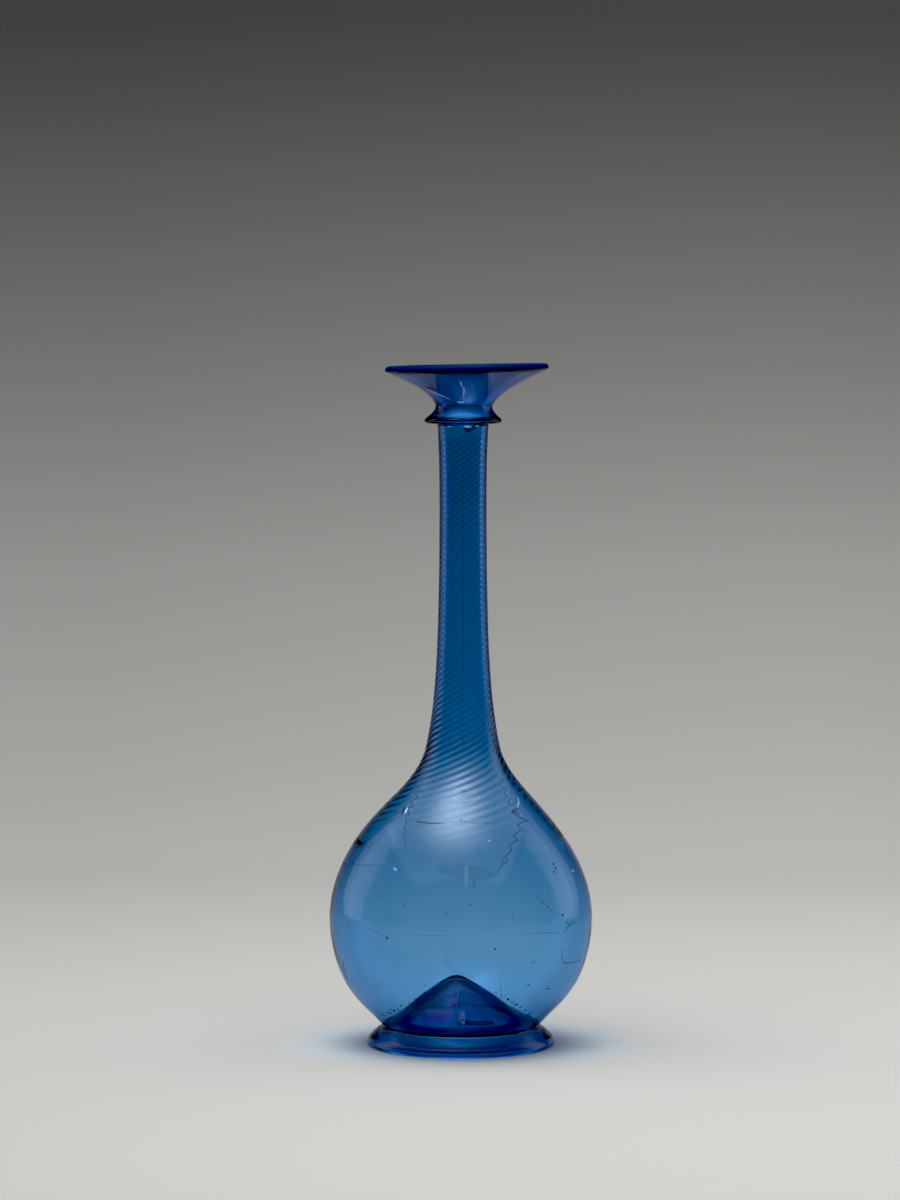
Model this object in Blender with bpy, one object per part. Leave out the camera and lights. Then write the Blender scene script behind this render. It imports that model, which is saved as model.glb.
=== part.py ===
"""A blue blown-glass bottle with a spiral-ribbed neck, a collar, a funnel mouth and a flared foot.

The glass is one piece. Its whole skin is one turned outline: it starts at the axis under the
kick, runs out over the foot, up the outside, over the lip, down the inside and back to the axis
on top of the kick. The neck and the shoulder are then wrythen: their mesh follows the spiral of
the ribs. Metres, +Z up, with the origin under the middle of the body, on the surface that the
bottle stands on.
"""
import math

import bmesh
import bpy

# Heights of the stages, from the standing surface upwards
FOOT_HEIGHT = 0.0078
BELLY_HEIGHT = 0.0451
SHOULDER_HEIGHT = 0.0638
NECK_HEIGHT = 0.1300
COLLAR_HEIGHT = 0.0071
MOUTH_HEIGHT = 0.0162

# Outer radii, and how far a stage flares beyond the one that it grows from
CREASE_RADIUS = 0.0308
FOOT_SPREAD = 0.0065
BELLY_RADIUS = 0.0522
NECK_RADIUS = 0.0092
NECK_ROOT_FLARE = 0.0061
NECK_TOP_FLARE = 0.0009
WAIST_RADIUS = 0.0112
COLLAR_STAND = 0.0041
MOUTH_RADIUS = 0.0323

# Thickness of the glass
BELLY_WALL = 0.0018
SHOULDER_WALL = 0.0021
NECK_WALL = 0.0024
WAIST_WALL = 0.0036
COLLAR_WALL = 0.0032
MOUTH_WALL = 0.0028
KICK_WALL = 0.0034
FOOT_WALL = 0.0020
FOOT_EDGE = 0.0012

# The lip is folded in: how far it reaches inwards, and how far it rises above its outer tip
LIP_FOLD = 0.0028
LIP_RISE = 0.0020

# The kick, the cone that is pushed up into the base, a little off the axis
KICK_HEIGHT = 0.0244
KICK_TIP_ROUNDING = 0.0026
KICK_RIM_DROP = 0.0008
KICK_OFFSET = -0.0016

# The spiral ribs: the rise is what one rib climbs in a whole turn
RIB_COUNT = 18
RIB_DEPTH = 0.0002
RIB_RISE_ON_NECK = 0.0405
RIB_RISE_ON_SHOULDER = 0.0570
RIB_START = 0.0290
RIB_FADE = 0.0280
RIB_SOFTENING = 0.65
RIB_TOP_FADE = 0.0020

# The bottle is hand-made: its neck stands off the body's axis, and its mouth off the neck's
NECK_OFFSET = 0.00085
MOUTH_OFFSET = 0.00150
MOUTH_TILT = math.radians(1.12)

# Mesh detail: one column on each ridge and one in each valley, and rows along the ribs
COLUMNS = 2 * RIB_COUNT
RIB_ROW_TURN = math.radians(24.0)

# Levels that follow from the heights
CREASE_LEVEL = FOOT_HEIGHT
WIDEST_LEVEL = CREASE_LEVEL + BELLY_HEIGHT
NECK_LEVEL = WIDEST_LEVEL + SHOULDER_HEIGHT
COLLAR_LEVEL = NECK_LEVEL + NECK_HEIGHT
WAIST_LEVEL = COLLAR_LEVEL + COLLAR_HEIGHT
TOP_LEVEL = WAIST_LEVEL + MOUTH_HEIGHT
RIB_LEVEL = WIDEST_LEVEL + RIB_START

# Free outlines, as shares: (share of the stage's height, share of its radial reach)
BELLY_OUTLINE = ((0.0, 0.0), (0.10, 0.195), (0.24, 0.485), (0.37, 0.685),
                 (0.51, 0.825), (0.66, 0.922), (0.82, 0.982), (1.0, 1.0))
SHOULDER_OUTLINE = ((0.0, 1.0), (0.13, 0.967), (0.27, 0.89), (0.40, 0.777), (0.53, 0.627),
                    (0.66, 0.435), (0.77, 0.257), (0.86, 0.13), (0.94, 0.045), (1.0, 0.0))
MOUTH_BEND = 0.62
COLLAR_OUTLINE = ((0.0, 0.0), (0.04, 0.70), (0.10, 0.91), (0.20, 1.0), (0.31, 0.90),
                  (0.42, 0.70), (0.53, 0.47), (0.65, 0.27), (0.80, 0.10), (1.0, 0.0))
FOOT_OUTLINE = ((0.93, 0.17), (0.81, 0.40), (0.65, 0.63), (0.49, 0.82), (0.34, 0.95), (0.22, 1.0))
# The folded lip, as (share of the fold inwards from its tip, share of its rise above the tip)
LIP_OUTLINE = ((0.03, 0.44), (0.20, 0.82), (0.50, 1.0), (0.86, 0.74))


def clear_scene():
    """Remove every object that the scene starts with."""
    for item in list(bpy.data.objects):
        bpy.data.objects.remove(item, do_unlink=True)


def eased(value, start, end):
    """Rise smoothly from 0 at start to 1 at end."""
    share = min(max((value - start) / (end - start), 0.0), 1.0)
    return share * share * (3.0 - 2.0 * share)


def through(points, place):
    """Read a smooth curve through (place, value) points, which run upwards in place."""
    last = len(points) - 1
    span = next((i for i in range(last) if place <= points[i + 1][0]), last - 1)
    (x0, y0), (x1, y1) = points[span], points[span + 1]

    def slope(at):
        before, after = points[max(at - 1, 0)], points[min(at + 1, last)]
        return (after[1] - before[1]) / (after[0] - before[0])

    width = x1 - x0
    t = (place - x0) / width
    return ((2 * t**3 - 3 * t**2 + 1) * y0 + (t**3 - 2 * t**2 + t) * width * slope(span)
            + (3 * t**2 - 2 * t**3) * y1 + (t**3 - t**2) * width * slope(span + 1))


def neck_radius(level):
    """The neck widens softly into the shoulder below and a little under the collar."""
    share = (level - NECK_LEVEL) / NECK_HEIGHT
    root = NECK_ROOT_FLARE * math.exp(-share / 0.19)
    return NECK_RADIUS + root + NECK_TOP_FLARE * share**10


def outer_radius(level):
    """Radius of the outside from the crease over the foot up to the collar."""
    if level < WIDEST_LEVEL:
        share = through(BELLY_OUTLINE, (level - CREASE_LEVEL) / BELLY_HEIGHT)
        return CREASE_RADIUS + (BELLY_RADIUS - CREASE_RADIUS) * share
    if level < NECK_LEVEL:
        root = neck_radius(NECK_LEVEL)
        share = through(SHOULDER_OUTLINE, (level - WIDEST_LEVEL) / SHOULDER_HEIGHT)
        return root + (BELLY_RADIUS - root) * share
    return neck_radius(level)


def wall(level):
    """Thickness of the glass: thin round the belly, heavier at the shoulder and the neck."""
    shoulder = eased(level, WIDEST_LEVEL, WIDEST_LEVEL + 0.5 * SHOULDER_HEIGHT)
    neck = eased(level, WIDEST_LEVEL + 0.75 * SHOULDER_HEIGHT, NECK_LEVEL + 0.25 * NECK_HEIGHT)
    thickness = BELLY_WALL + (SHOULDER_WALL - BELLY_WALL) * shoulder
    return thickness + (NECK_WALL - SHOULDER_WALL) * neck


def kick_level(radius):
    """Height of the kick's hollow side: a cone with a rounded tip, tied to the foot's crease."""
    rim_radius = CREASE_RADIUS - KICK_WALL
    rim_level = CREASE_LEVEL - KICK_RIM_DROP
    fall = KICK_HEIGHT + KICK_TIP_ROUNDING - rim_level
    slope = math.sqrt(fall**2 - KICK_TIP_ROUNDING**2) / rim_radius
    return KICK_HEIGHT + KICK_TIP_ROUNDING - math.hypot(KICK_TIP_ROUNDING, slope * radius)


def kick_outline(steps, lift):
    """Points of the kick from just off its tip out to its rim, raised by lift, with their shift."""
    rim_radius = CREASE_RADIUS - KICK_WALL
    shares = [(i / steps) ** 1.3 for i in range(1, steps + 1)]
    return [(rim_radius * share, kick_level(rim_radius * share) + lift, 1.0 - share**2) for share in shares]


def foot_outline():
    """The foot ring from its inner face over the flat standing ring to the crease."""
    foot_radius = CREASE_RADIUS + FOOT_SPREAD
    rim_radius = CREASE_RADIUS - KICK_WALL
    rim_level = CREASE_LEVEL - KICK_RIM_DROP
    inner_edge = foot_radius - FOOT_WALL
    points = []
    for share in (0.44, 0.70, 0.88):
        radius = rim_radius + (inner_edge - rim_radius) * share
        points.append((radius, rim_level * (1.0 - share**3)))
    points.append((inner_edge, 0.0))
    points.append((foot_radius - FOOT_EDGE, 0.0))
    corner = math.radians(50.0)
    points.append((foot_radius - FOOT_EDGE * (1.0 - math.sin(corner)),
                   0.22 * FOOT_HEIGHT * (1.0 - math.cos(corner))))
    for height, reach in reversed(FOOT_OUTLINE):
        points.append((CREASE_RADIUS + FOOT_SPREAD * reach, FOOT_HEIGHT * height))
    return points


def belly_levels(steps, top):
    """Levels from the crease up to top, closer together near the crease."""
    return [CREASE_LEVEL + (top - CREASE_LEVEL) * (i / steps) ** 1.25 for i in range(steps)]


def rib_levels():
    """Levels and turns of the rows that follow the ribs, from the shoulder to the collar."""
    level, turn, rows = RIB_LEVEL, 0.0, []
    while level < COLLAR_LEVEL:
        rows.append((level, turn))
        low = 1.0 - (level - RIB_LEVEL) / (COLLAR_LEVEL - RIB_LEVEL)
        rise = RIB_RISE_ON_NECK + (RIB_RISE_ON_SHOULDER - RIB_RISE_ON_NECK) * low**5
        level += rise * RIB_ROW_TURN / math.tau
        turn += RIB_ROW_TURN
    return rows


def rib_strength(level):
    """How much of the ribs' depth shows: it grows on the shoulder, and is less on the neck."""
    on_neck = eased(level, NECK_LEVEL - 0.1 * SHOULDER_HEIGHT, NECK_LEVEL + 0.4 * NECK_HEIGHT)
    return (eased(level, RIB_LEVEL, RIB_LEVEL + RIB_FADE) * (1.0 - RIB_SOFTENING * on_neck)
            * (1.0 - eased(level, COLLAR_LEVEL - RIB_TOP_FADE, COLLAR_LEVEL)))


def collar_outline():
    """The collar: a ring with a flat underside that slopes back to the waist."""
    return [(WAIST_RADIUS + COLLAR_STAND * reach, COLLAR_LEVEL + COLLAR_HEIGHT * height)
            for height, reach in COLLAR_OUTLINE[1:-1]]


def collar_groove():
    """The inside of the collar, which was blown hollow, from the neck up to the waist."""
    flare = []
    for height in (0.56, 0.70, 0.85):
        thickness = COLLAR_WALL + (WAIST_WALL - COLLAR_WALL) * eased(height, 0.7, 1.1)
        flare.append((WAIST_RADIUS + COLLAR_STAND * through(COLLAR_OUTLINE, height),
                      COLLAR_LEVEL + COLLAR_HEIGHT * height, thickness))
    flare = inside_of(flare)
    bore, low = outer_radius(COLLAR_LEVEL) - NECK_WALL, COLLAR_LEVEL - 0.1 * COLLAR_HEIGHT
    back = []
    for share in (0.0, 0.3, 0.6, 0.8):
        level = low + (flare[0][1] - low) * share
        back.append((bore + (flare[0][0] - bore) * eased(share, 0.0, 1.0), level))
    return back + flare


def mouth_curve():
    """Outer curve of the funnel from the waist to the lip's tip, with its wall."""
    tip_level = TOP_LEVEL - LIP_RISE
    steps, curve = 6, []
    for i in range(steps + 1):
        reach = (i / steps) ** 1.7
        radius = WAIST_RADIUS + (MOUTH_RADIUS - WAIST_RADIUS) * reach
        level = WAIST_LEVEL + (tip_level - WAIST_LEVEL) * reach**MOUTH_BEND
        thinned = eased(i / steps, 0.0, 0.8)
        curve.append((radius, level, WAIST_WALL + (MOUTH_WALL - WAIST_WALL) * thinned))
    return curve


def lip_outline():
    """The lip's fold from its tip over its crown to its inner edge."""
    return [(MOUTH_RADIUS - LIP_FOLD * inwards, TOP_LEVEL - LIP_RISE * (1.0 - rise))
            for inwards, rise in LIP_OUTLINE]


def inside_of(curve):
    """Offset a curve of (radius, level, wall) points inwards, square to the curve."""
    points = []
    last = len(curve) - 1
    for i, (radius, level, thickness) in enumerate(curve):
        before, after = curve[max(i - 1, 0)], curve[min(i + 1, last)]
        run, climb = after[0] - before[0], after[1] - before[1]
        length = math.hypot(run, climb)
        points.append((radius - thickness * climb / length, level + thickness * run / length))
    return points


def inner_outline(mouth):
    """The inside from the lip down through the bore and round the body to the kick's rim."""
    levels = [CREASE_LEVEL + BELLY_HEIGHT * share for share in (0.0, 0.08, 0.2, 0.36, 0.56, 0.78)]
    levels += [WIDEST_LEVEL + SHOULDER_HEIGHT * i / 7 for i in range(7)]
    levels += [NECK_LEVEL + NECK_HEIGHT * share for share in (0.0, 0.1, 0.25, 0.55)]
    body = inside_of([(outer_radius(level), level, wall(level)) for level in levels])
    fold = MOUTH_RADIUS - 1.04 * LIP_FOLD
    funnel = [point for point in inside_of(mouth) if point[0] < fold]
    return list(reversed(body + collar_groove() + funnel))


def outline():
    """The whole skin as (radius, level, turn, rib, kick) rows, from under the kick to its top."""
    mouth = mouth_curve()
    ribs = rib_levels()
    top_turn = ribs[-1][1]
    rows = [(radius, level, 0.0, 0.0, kick) for radius, level, kick in kick_outline(4, 0.0)]
    rows += [(radius, level, 0.0, 0.0, 0.0) for radius, level in foot_outline()]
    rows += [(outer_radius(level), level, 0.0, 0.0, 0.0) for level in belly_levels(11, RIB_LEVEL)]
    rows += [(outer_radius(level), level, turn, rib_strength(level), 0.0) for level, turn in ribs]
    upper = [(outer_radius(COLLAR_LEVEL), COLLAR_LEVEL)] + collar_outline()
    upper += [(radius, level) for radius, level, _ in mouth]
    upper += lip_outline() + inner_outline(mouth)
    rows += [(radius, level, top_turn, 0.0, 0.0) for radius, level in upper]
    over_kick = reversed(kick_outline(4, KICK_WALL)[:-1])
    rows += [(radius, level, top_turn, 0.0, kick) for radius, level, kick in over_kick]
    return rows


def placed(radius, angle, level, kick=0.0):
    """Set a point of the turned form where the leaning neck, the tilted mouth or the kick puts it."""
    shift = NECK_OFFSET * eased(level, WIDEST_LEVEL + 0.5 * SHOULDER_HEIGHT,
                                WIDEST_LEVEL + 0.85 * SHOULDER_HEIGHT)
    shift += MOUTH_OFFSET * eased(level, COLLAR_LEVEL, TOP_LEVEL - LIP_RISE) + KICK_OFFSET * kick
    x, y = radius * math.cos(angle), radius * math.sin(angle)
    lift = math.tan(MOUTH_TILT) * x * eased(level, WAIST_LEVEL, TOP_LEVEL - LIP_RISE)
    return x + shift, y, level + lift


def glass_skin():
    """Turn the outline into one closed mesh."""
    skin = bmesh.new()
    rings = []
    for radius, level, turn, rib, kick in outline():
        ring = []
        for column in range(COLUMNS):
            valley = RIB_DEPTH * rib * (column % 2)
            angle = turn + math.tau * column / COLUMNS
            ring.append(skin.verts.new(placed(radius - valley, angle, level, kick)))
        rings.append(ring)
    for low, high in zip(rings, rings[1:]):
        for a in range(COLUMNS):
            b = (a + 1) % COLUMNS
            skin.faces.new((low[a], low[b], high[b], high[a]))
    under_tip = skin.verts.new(placed(0.0, 0.0, kick_level(0.0), 1.0))
    over_tip = skin.verts.new(placed(0.0, 0.0, kick_level(0.0) + KICK_WALL, 1.0))
    for a in range(COLUMNS):
        b = (a + 1) % COLUMNS
        skin.faces.new((under_tip, rings[0][b], rings[0][a]))
        skin.faces.new((over_tip, rings[-1][a], rings[-1][b]))
    bmesh.ops.triangulate(skin, faces=skin.faces[:], quad_method='SHORT_EDGE')
    return skin


def blue_glass():
    """Deep cobalt-blue glass."""
    material = bpy.data.materials.new("blue_glass")
    material.use_nodes = True
    shader = material.node_tree.nodes["Principled BSDF"]
    shader.inputs["Base Color"].default_value = (0.02, 0.12, 0.45, 1.0)
    shader.inputs["Roughness"].default_value = 0.04
    shader.inputs["Metallic"].default_value = 0.0
    shader.inputs["IOR"].default_value = 1.5
    shader.inputs["Transmission Weight"].default_value = 1.0
    return material


def make_bottle():
    """The bottle: one piece of glass."""
    mesh = bpy.data.meshes.new("bottle")
    skin = glass_skin()
    skin.to_mesh(mesh)
    skin.free()
    mesh.shade_smooth()
    mesh.set_sharp_from_angle(angle=math.radians(40.0))
    mesh.materials.append(blue_glass())
    bottle = bpy.data.objects.new("bottle", mesh)
    bpy.context.scene.collection.objects.link(bottle)
    return bottle


clear_scene()
make_bottle()
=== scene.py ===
"""The looks of a cobalt-blue glass bottle with a spirally ribbed neck.

The file is laid out as an add-on and run as a script. It dresses the bottle's construction solid
with fine glass, its ribs, cracks, chips and weathering, and sets it on a pale studio sweep.
"""
import math
import random

import bmesh
import bpy
from bpy.props import FloatProperty, FloatVectorProperty, IntProperty, PointerProperty
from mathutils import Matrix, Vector


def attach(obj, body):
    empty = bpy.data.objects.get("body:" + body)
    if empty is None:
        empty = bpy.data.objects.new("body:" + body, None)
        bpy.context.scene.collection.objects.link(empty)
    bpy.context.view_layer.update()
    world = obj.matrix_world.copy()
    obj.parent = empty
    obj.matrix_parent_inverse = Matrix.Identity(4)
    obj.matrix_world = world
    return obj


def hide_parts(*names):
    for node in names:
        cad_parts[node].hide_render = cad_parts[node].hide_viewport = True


bl_info = {
    "name": "Spiral-Ribbed Glass Bottle",
    "version": (1, 0, 0),
    "blender": (4, 5, 0),
    "location": "View3D > Sidebar > Glass Bottle",
    "description": "Makes a blue blown-glass bottle with wrythen ribs, and the studio that shows it",
    "category": "Object",
}

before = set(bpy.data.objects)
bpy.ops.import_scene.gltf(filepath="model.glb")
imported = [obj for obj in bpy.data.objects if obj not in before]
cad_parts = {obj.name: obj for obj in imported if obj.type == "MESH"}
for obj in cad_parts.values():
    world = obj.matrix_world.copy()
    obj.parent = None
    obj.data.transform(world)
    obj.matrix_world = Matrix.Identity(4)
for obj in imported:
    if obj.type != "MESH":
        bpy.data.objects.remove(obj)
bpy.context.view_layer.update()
BODY = "root"
WHITE = (1.0, 1.0, 1.0)


# Free outlines, as shares: (share of the stage's height, share of its radial reach)
BELLY_OUTLINE = ((0.0, 0.0), (0.10, 0.195), (0.24, 0.485), (0.37, 0.685),
                 (0.51, 0.825), (0.66, 0.922), (0.82, 0.982), (1.0, 1.0))
SHOULDER_OUTLINE = ((0.0, 1.0), (0.13, 0.967), (0.27, 0.89), (0.40, 0.777), (0.53, 0.627),
                    (0.66, 0.435), (0.77, 0.257), (0.86, 0.13), (0.94, 0.045), (1.0, 0.0))
COLLAR_OUTLINE = ((0.0, 0.0), (0.04, 0.70), (0.10, 0.91), (0.20, 1.0), (0.31, 0.90),
                  (0.42, 0.70), (0.53, 0.47), (0.65, 0.27), (0.80, 0.10), (0.91, 0.03), (1.0, 0.0))
FOOT_OUTLINE = ((0.22, 1.0), (0.34, 0.95), (0.49, 0.82), (0.65, 0.63), (0.81, 0.40), (0.93, 0.17),
                (1.0, 0.0))
# The folded lip, as (share of the fold inwards from its tip, share of its rise above the tip)
LIP_OUTLINE = ((0.0, 0.22), (0.03, 0.44), (0.10, 0.66), (0.22, 0.84), (0.37, 0.96), (0.50, 1.0),
               (0.66, 0.94), (0.82, 0.78), (0.94, 0.60), (1.0, 0.45))


# Where the tints of the glass begin and are full, as heights in metres; the neck's ends under the collar
FOOT_BLEND, NECK_BLEND = (0.0085, 0.0065), (0.098, 0.122)
COLLAR_BLEND, FUNNEL_BLEND = (0.2475, 0.2455), (0.2550, 0.2600)

# Columns of faces for each rib, and how far the lip's band lies off the glass
GLASS_COLUMNS, LIP_COLUMNS, LIP_BAND_LIFT = 12, 8, 0.00004


def length(name, value, about):
    """A size in metres that a user may change."""
    return FloatProperty(name=name, description=about, default=value, min=0.0, unit='LENGTH', precision=5)


def offset(name, value, about):
    """A place in metres, which may lie on either side."""
    return FloatProperty(name=name, description=about, default=value, unit='LENGTH', precision=5)


def in_degrees(name, degrees, about):
    """An angle that a user may change."""
    return FloatProperty(name=name, description=about, default=math.radians(degrees), subtype='ANGLE')


def amount(name, value, about):
    """A plain number that a user may change."""
    return FloatProperty(name=name, description=about, default=value, min=0.0)


def colour(name, value, about):
    """A colour that a user may change."""
    return FloatVectorProperty(name=name, description=about, default=value, subtype='COLOR', size=3)


class BottleSizes(bpy.types.PropertyGroup):
    """Sizes of the glass."""
    foot_height: length("Foot height", 0.0078, "From the standing surface to the crease under the body")
    belly_height: length("Belly height", 0.0451, "From the crease to the widest level")
    shoulder_height: length("Shoulder height", 0.0638, "From the widest level to the root of the neck")
    neck_height: length("Neck height", 0.1300, "From the root of the neck to the collar")
    collar_height: length("Collar height", 0.0071, "From the collar's underside to the waist")
    mouth_height: length("Mouth height", 0.0162, "From the waist to the top of the lip")
    crease_radius: length("Crease radius", 0.0308, "Where the foot meets the body")
    foot_spread: length("Foot spread", 0.0065, "How far the foot flares beyond the crease")
    belly_radius: length("Belly radius", 0.0522, "Widest radius of the body")
    neck_radius: length("Neck radius", 0.0092, "Slimmest radius of the neck")
    neck_root_flare: length("Neck root flare", 0.0061, "How much wider the neck is at its root")
    neck_top_flare: length("Neck top flare", 0.0009, "How much wider the neck is under the collar")
    waist_radius: length("Waist radius", 0.0112, "Radius above the collar")
    collar_stand: length("Collar stand", 0.0041, "How far the collar stands out from the waist")
    mouth_radius: length("Mouth radius", 0.0323, "Radius of the lip")
    belly_wall: length("Belly wall", 0.0018, "Thickness of the glass round the belly")
    shoulder_wall: length("Shoulder wall", 0.0021, "Thickness of the glass at the shoulder")
    neck_wall: length("Neck wall", 0.0024, "Thickness of the glass in the neck")
    waist_wall: length("Waist wall", 0.0036, "Thickness of the glass above the collar")
    collar_wall: length("Collar wall", 0.0032, "Thickness of the glass in the hollow collar")
    mouth_wall: length("Mouth wall", 0.0028, "Thickness of the funnel under its lip")
    lip_fold: length("Lip fold", 0.0028, "How far the lip is folded in")
    lip_rise: length("Lip rise", 0.0020, "How far the folded lip rises above its tip")
    kick_wall: length("Kick wall", 0.0034, "Thickness of the glass over the kick")
    foot_wall: length("Foot wall", 0.0020, "Thickness of the foot where it stands")
    foot_edge: length("Foot edge", 0.0012, "Rounding under the foot's outer edge")
    kick_height: length("Kick height", 0.0244, "Height of the hollow under the base")
    kick_tip: length("Kick tip rounding", 0.0026, "Rounding of the kick's tip")
    kick_offset: offset("Kick offset", -0.0016, "How far the kick's tip stands off the axis")
    kick_rim_drop: length("Kick rim drop", 0.0008, "How far the kick's rim lies under the crease")
    neck_offset: length("Neck offset", 0.00085, "How far the neck stands off the body's axis")
    mouth_offset: length("Mouth offset", 0.0015, "How far the mouth stands off the neck's axis")
    mouth_tilt: in_degrees("Mouth tilt", 1.12, "Tilt of the lip, higher to the right")


class RibSettings(bpy.types.PropertyGroup):
    """The wrythen ribs."""
    count: IntProperty(name="Ribs", description="Number of ribs round the neck", default=18, min=3)
    depth: length("Rib depth", 0.0002, "From a ridge to a valley")
    rise_on_neck: length("Rise on neck", 0.0405, "What one rib climbs in a turn on the neck")
    rise_on_shoulder: length("Rise on shoulder", 0.0570, "What one rib climbs in a turn on the shoulder")
    start: length("Rib start", 0.0290, "Where the ribs begin, above the widest level")
    fade: length("Rib fade", 0.0280, "Height in which the ribs grow to their full depth")
    softening: amount("Softening", 0.65, "How much shallower the ribs are on the neck")
    rear_softening: amount("Rear softening", 0.85, "How much shallower they are round the back of the neck")
    top_fade: length("Top fade", 0.0020, "Height in which the ribs end under the collar")


class GlassLook(bpy.types.PropertyGroup):
    """Colour and surface of the glass."""
    absorption: colour("Absorption colour", (0.50, 0.78, 0.942), "Light that the glass lets through")
    density: amount("Absorption density", 1000.0, "Per metre of glass")
    ior: amount("Index of refraction", 1.5, "Of the glass")
    film_thickness: amount("Film thickness", 100.0, "Weathered skin, in nanometres")
    film_ior: amount("Film index", 1.40, "Index of refraction of the weathered skin")
    roughness: amount("Roughness", 0.02, "Of the glass")
    # Darkens the kick's glass towards this tint
    kick_tint: colour("Kick stain", (0.72, 0.66, 0.66), "Tint of the stained glass of the kick")
    foot_tint: colour("Foot tint", (0.80, 0.84, 1.0), "Tint of the doubled glass of the foot")
    neck_tint: colour("Neck tint", (0.62, 0.80, 0.88), "Tint of the deeper glass of the neck")
    funnel_tint: colour("Funnel tint", (0.97, 0.76, 0.80), "Tint of the weathered glass of the funnel")
    cloud_tint: colour("Cloud tint", (0.92, 0.96, 0.99), "Tint of the cloudy patches")
    cloud_scale: amount("Cloud scale", 38.0, "How fine the cloudy patches are")
    lip_tint: colour("Lip tint", (0.0, 0.018, 0.10), "Colour of the doubled glass of the lip")
    lip_cover: amount("Lip cover", 0.75, "How solid the lip's glass looks")
    lip_roughness: amount("Lip roughness", 0.4, "Of the lip's doubled glass")
    kick_waviness: amount("Kick waviness", 10.0, "How much rougher the kick's walls are")
    waviness: length("Waviness", 0.00006, "Unevenness of the blown walls")


class WearLook(bpy.types.PropertyGroup):
    """Cracks, chips and dirt that time has left."""
    breadth: amount("Breadth", 2.2, "How broad the cracks and specks are drawn")
    largest_speck: amount("Largest speck", 0.24, "Radius in millimetres that no dark speck passes")
    crack_depth: length("Crack depth", 0.00008, "How far a crack's dark line shows above the glass")
    # Dark painted shade of the cracks and chips, and also the colour of the dirt specks
    dark_shade_and_dirt_tint: colour("Crack tint", (0.002, 0.012, 0.035), "Dark inside of a crack")
    # Painted highlight where broken glass would catch the light
    painted_glint_tint: colour("Glint tint", (0.80, 0.92, 1.0), "Broken glass that catches the light")
    haze_tint: colour("Haze tint", (0.35, 0.62, 0.80), "Bloom on the weathered glass")
    stain_tint: colour("Stain tint", (1.0, 0.06, 0.60), "Iridescent stain on the kick")
    # Painted shade: a darker patch in the front of the body
    painted_shade_tint: colour("Shade tint", (0.0, 0.06, 0.20), "Darker mark in the front of the body")
    dirt_tint: colour("Dirt tint", (0.006, 0.020, 0.018), "Soil left round the kick")
    # Painted highlight down the kick
    painted_highlight_tint: colour("Streak tint", (0.30, 0.55, 0.85), "Bright streak down the kick")


class StageLook(bpy.types.PropertyGroup):
    """Camera, sweep and lights."""
    camera_distance: length("Camera distance", 1.850, "From the bottle's axis")
    camera_height: length("Camera height", 0.293, "Above the standing surface")
    camera_side: offset("Camera side", -0.0043, "Sideways place")
    camera_pitch: in_degrees("Camera pitch", 3.585, "Downward tilt")
    lens: amount("Lens", 140.5, "Focal length in millimetres")
    black_level: amount("Black level", 0.02, "Light that the picture shows as black")
    room_front: amount("Room in front", 0.10, "Light from the room in front")
    room_back: amount("Room behind", 0.60, "Light from the room behind")
    room_seen: amount("Room seen", 0.45, "How bright the room in front looks from behind")
    front_shade: amount("Front shade", 0.405, "How pale the floor in front looks")
    scrim_power: amount("Scrim power", 11.0, "Brightness of the middle of the scrim overhead")
    scrim_spread: amount("Scrim spread", 0.285, "Radius in metres of the scrim's bright middle")
    scrim_rest: amount("Scrim rest", 0.07, "How bright the rest of the scrim is, as a share")
    card_power: amount("Card power", 0.6, "Brightness of the cards beside the backdrop")
    reflection_loss: amount("Reflection loss", 0.45, "Share of the backdrop's reflections that is lost")
    # Blue light painted into the floor's colour round the foot
    floor_glow: colour("Floor glow", (1.10, 1.26, 1.42), "Blue light on the floor round the foot")
    wall_distance: length("Wall distance", 1.0, "From the bottle to the upright part of the sweep")
    wall_curve: length("Wall curve", 0.45, "Radius between the floor and the wall of the sweep")


def eased(value, start, end):
    """Rise smoothly from 0 at start to 1 at end."""
    share = min(max((value - start) / (end - start), 0.0), 1.0)
    return share * share * (3.0 - 2.0 * share)


def through(points, place):
    """Read a smooth curve through (place, value) points, which run upwards in place."""
    last = len(points) - 1
    span = next((i for i in range(last) if place <= points[i + 1][0]), last - 1)
    (x0, y0), (x1, y1) = points[span], points[span + 1]

    def slope(at):
        before, after = points[max(at - 1, 0)], points[min(at + 1, last)]
        return (after[1] - before[1]) / (after[0] - before[0])

    width = x1 - x0
    t = (place - x0) / width
    return ((2 * t**3 - 3 * t**2 + 1) * y0 + (t**3 - 2 * t**2 + t) * width * slope(span)
            + (3 * t**2 - 2 * t**3) * y1 + (t**3 - t**2) * width * slope(span + 1))


def steps(start, end, count, bend=1.0):
    """Places from start up to but not including end, closer together near start when bend > 1."""
    return [start + (end - start) * (i / count) ** bend for i in range(count)]


def bridge(builder, low, high):
    """Smooth faces between two closed rings of points, which look outwards when the rings run upwards."""
    for a in range(len(low)):
        b = (a + 1) % len(low)
        builder.faces.new((low[a], low[b], high[b], high[a])).smooth = True


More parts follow.
